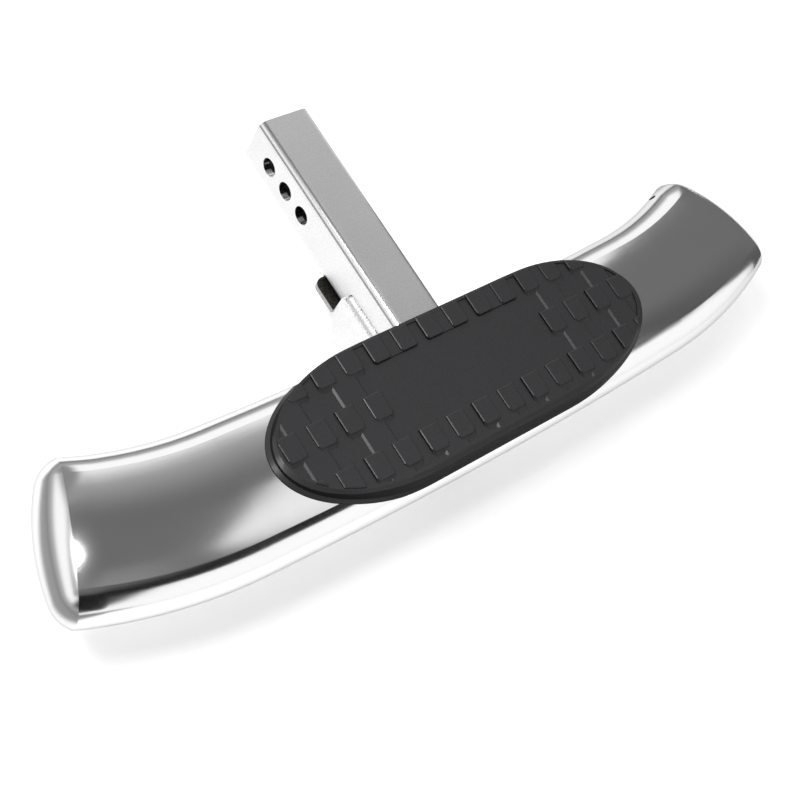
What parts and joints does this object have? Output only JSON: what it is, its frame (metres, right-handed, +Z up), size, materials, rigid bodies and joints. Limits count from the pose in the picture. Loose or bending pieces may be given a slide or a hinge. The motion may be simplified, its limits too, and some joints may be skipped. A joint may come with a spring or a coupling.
{
  "type": "hitch receiver step",
  "caption": "Bowed oval metal step tube with a moulded tread pad, on a square receiver shank with cross holes for a hitch pin and a welded gusset bracket.",
  "frame": {"origin": "centre of the middle pin hole, on the shank's axis", "axes": "+X along the step to its right, +Y along the shank to the vehicle, +Z up"},
  "size_m": [0.7468, 0.3377, 0.1246],
  "materials": {
    "polished_stainless": "satin polished stainless steel, brushed along the tube",
    "satin_stainless": "satin stainless steel",
    "weld_metal": "rippled weld bead",
    "black_plastic": "matte moulded charcoal black plastic"
  },
  "bodies": {
    "root": {"step_tube": "polished_stainless", "end_cap_left": "polished_stainless", "end_cap_right": "polished_stainless", "receiver_shank": "satin_stainless", "gusset_left": "satin_stainless", "gusset_right": "satin_stainless", "floor_plate": "satin_stainless", "gusset_weld_left": "weld_metal", "gusset_weld_right": "weld_metal", "cradle_weld_left": "weld_metal", "cradle_weld_right": "weld_metal", "floor_weld": "weld_metal", "shank_weld": "weld_metal", "step_pad": "black_plastic"}
  },
  "joints": []
}
